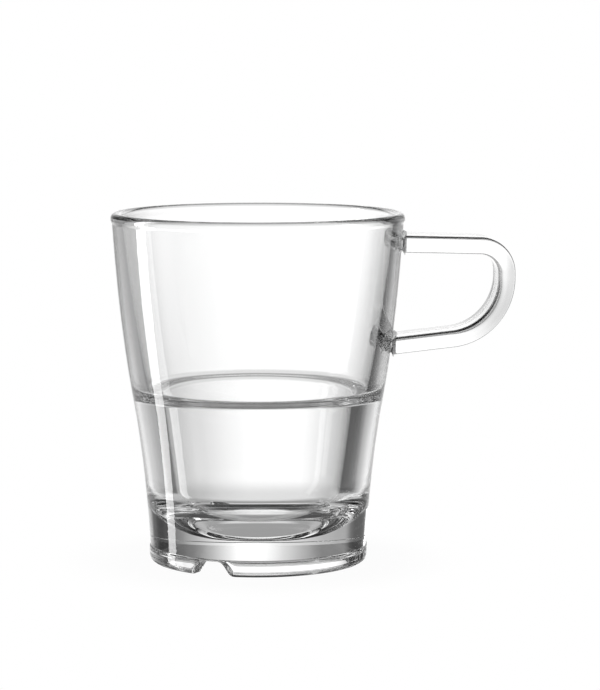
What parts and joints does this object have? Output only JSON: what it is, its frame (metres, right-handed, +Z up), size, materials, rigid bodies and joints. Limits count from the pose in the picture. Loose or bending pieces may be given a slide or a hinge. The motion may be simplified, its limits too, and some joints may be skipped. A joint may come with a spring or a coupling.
{
  "type": "cappuccino glass",
  "caption": "Stackable clear glass cup for cappuccino, with a flared bowl on a stacking ledge, a thick-walled well, a notched foot ring and a welded strap handle.",
  "frame": {"origin": "on the surface the glass stands on, under the middle of its length from rim to handle", "axes": "+Z up along the glass's axis, +X from the bowl towards the handle, +Y across"},
  "size_m": [0.1104, 0.0806, 0.0962],
  "materials": {
    "bowl_glass": "clear, fire polished",
    "strap_glass": "clear, fire polished",
    "weld_glass": "clear, flame softened"
  },
  "bodies": {
    "root": {"glass_body": "bowl_glass", "strap_handle": "strap_glass", "upper_weld": "weld_glass", "lower_weld": "weld_glass"}
  },
  "joints": []
}
